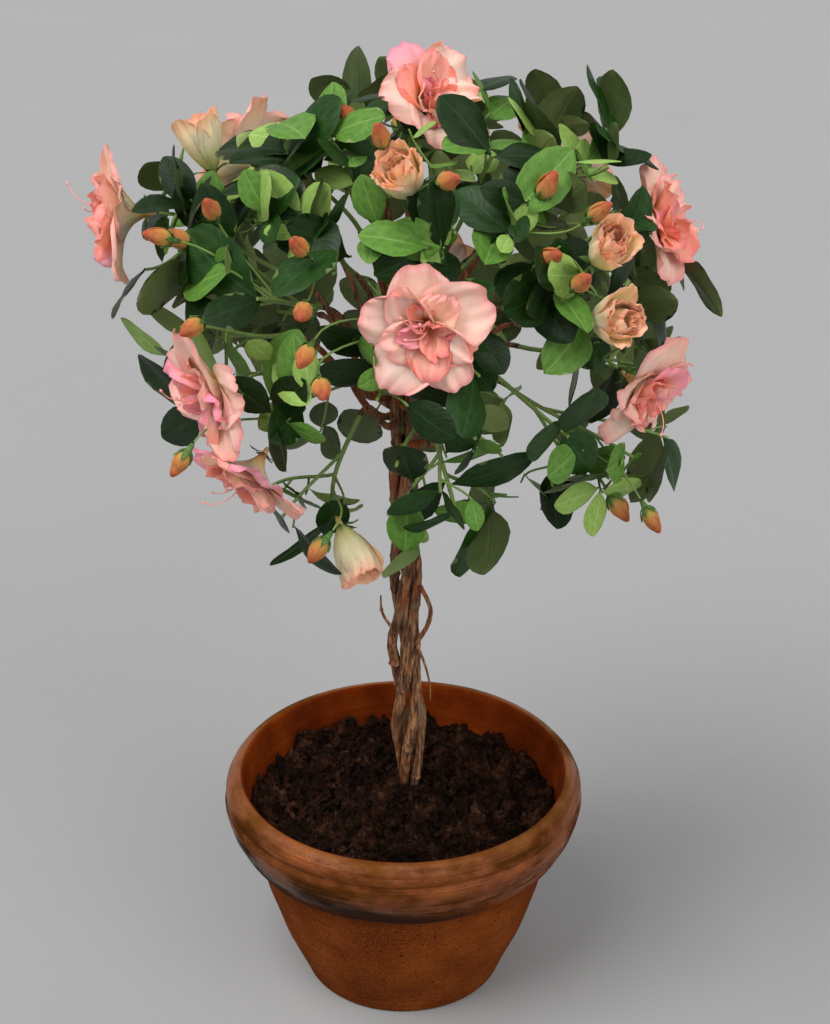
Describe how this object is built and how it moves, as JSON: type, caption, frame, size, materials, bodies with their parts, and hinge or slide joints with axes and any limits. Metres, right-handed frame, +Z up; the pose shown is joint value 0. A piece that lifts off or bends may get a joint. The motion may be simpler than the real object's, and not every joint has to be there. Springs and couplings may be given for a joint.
{
  "type": "artificial azalea tree in a terracotta pot",
  "caption": "Artificial flowering azalea tree: a round crown of silk leaves, double blooms and buds on twisted vine stems, set in peat in a turned terracotta pot.",
  "frame": {"origin": "centre of the pot's flat underside", "axes": "+Z up along the trunk, X to the right seen from the front, Y away from the front"},
  "size_m": [0.3632, 0.3445, 0.6152],
  "materials": {
    "terracotta": "matte",
    "peat": "matte",
    "bark": "matte",
    "leaves": "satin",
    "twigs": "matte",
    "petals": "matte"
  },
  "bodies": {
    "root": {"pot": "terracotta", "soil": "peat", "stem_front_left": "bark", "stem_front_right": "bark", "stem_back_right": "bark", "stem_back_left": "bark", "bough_right_crest_high": "bark", "bough_right_crest": "bark", "bough_right": "bark", "bough_right_face": "bark", "bough_right_upper_face": "bark", "bough_centre": "bark", "bough_upper_face": "bark", "bough_left_upper_face": "bark", "bough_left_face": "bark", "bough_left_crest": "bark", "bough_left_low": "bark", "bough_left_edge": "bark", "bough_centre_low": "bark", "bough_right_low_face": "bark", "bough_right_low_spray": "bark", "bough_low_centre_spray": "bark", "bough_low_left_spray": "bark", "bough_back_right_high": "bark", "bough_back_high": "bark", "bough_back_left_high": "bark", "bough_back_right": "bark", "bough_back_middle": "bark", "bough_back_left": "bark", "bough_back_low": "bark", "foliage_top": "leaves", "foliage_top_left": "leaves", "foliage_top_right": "leaves", "foliage_back_top": "leaves", "foliage_right_crest_high": "leaves", "foliage_right_crest": "leaves", "foliage_right": "leaves", "foliage_right_face": "leaves", "foliage_right_upper_face": "leaves", "foliage_centre": "leaves", "foliage_upper_face": "leaves", "foliage_left_upper_face": "leaves", "foliage_left_face": "leaves", "foliage_left_crest": "leaves", "foliage_left_low": "leaves", "foliage_left_edge": "leaves", "foliage_centre_low": "leaves", "foliage_right_low_face": "leaves", "foliage_right_low_spray": "leaves", "foliage_low_centre_spray": "leaves", "foliage_low_left_spray": "leaves", "foliage_back_right_high": "leaves", "foliage_back_high": "leaves", "foliage_back_left_high": "leaves", "foliage_back_right": "leaves", "foliage_back_middle": "leaves", "foliage_back_left": "leaves", "foliage_back_low": "leaves"}
  },
  "joints": []
}
